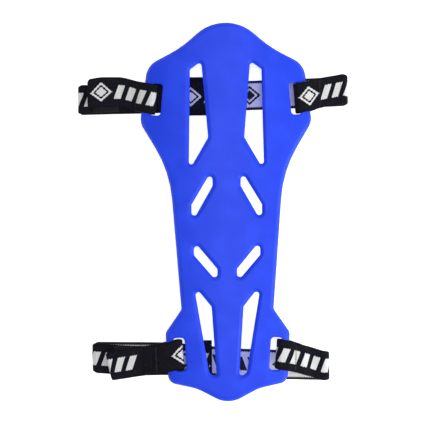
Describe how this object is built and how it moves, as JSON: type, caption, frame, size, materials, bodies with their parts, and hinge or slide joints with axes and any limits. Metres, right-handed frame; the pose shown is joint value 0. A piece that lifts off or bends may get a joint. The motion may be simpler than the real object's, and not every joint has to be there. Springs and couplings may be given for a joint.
{
  "type": "archery arm guard",
  "caption": "Arched plastic forearm guard with slanted vent windows, and patterned elastic straps that close with hook and loop.",
  "frame": {"origin": "centre of the bounding box in X and Y, on the plane that the straps rest on", "axes": "+Y along the guard towards its wide end, +Z out of its face, +X across it"},
  "size_m": [0.1372, 0.1891, 0.0152],
  "materials": {
    "shell": "satin moulded blue",
    "strap": "woven elastic, near black with a white woven motif",
    "strap_plain": "plain black webbing",
    "hook_loop": "black hook and loop tape",
    "thread": "black stitching"
  },
  "bodies": {
    "guard": {"guard_shell": "shell", "upper_tab_loop": "strap", "upper_tab_bend": "strap", "upper_tab_bar_tack": "thread", "upper_band_front": "strap", "upper_band_bend": "strap", "upper_band_bar_tack": "thread", "lower_tab_loop": "strap", "lower_tab_bend": "strap", "lower_tab_bar_tack": "thread", "lower_band_front": "strap", "lower_band_bend": "strap", "lower_band_bar_tack": "thread"},
    "upper_tab": {"upper_tab": "strap", "upper_tab_hook_patch": "hook_loop"},
    "upper_band": {"upper_band_back": "strap", "upper_band_loop_patch": "hook_loop", "upper_band_end_pad": "strap_plain"},
    "lower_tab": {"lower_tab": "strap", "lower_tab_hook_patch": "hook_loop"},
    "lower_band": {"lower_band_back": "strap", "lower_band_loop_patch": "hook_loop", "lower_band_end_pad": "strap_plain"}
  },
  "joints": [
    {"name": "upper_tab_lift", "type": "hinge", "parent": "guard", "child": "upper_tab", "pos_m": [-0.04328, 0.06048, 0.00791], "axis": [0, 1, 0], "range_deg": [0, 150], "deforming": ["upper_tab_bend"]},
    {"name": "upper_band_open", "type": "hinge", "parent": "guard", "child": "upper_band", "pos_m": [0.06927, 0.062, 0.00295], "axis": [0, -1, 0], "range_deg": [0, 179.5], "deforming": ["upper_band_bend"]},
    {"name": "lower_tab_lift", "type": "hinge", "parent": "guard", "child": "lower_tab", "pos_m": [-0.03398, -0.07435, 0.01029], "axis": [0, 1, 0], "range_deg": [0, 150], "deforming": ["lower_tab_bend"]},
    {"name": "lower_band_open", "type": "hinge", "parent": "guard", "child": "lower_band", "pos_m": [0.05902, -0.07798, 0.00345], "axis": [0, -1, 0], "range_deg": [0, 179.5], "deforming": ["lower_band_bend"]}
  ]
}
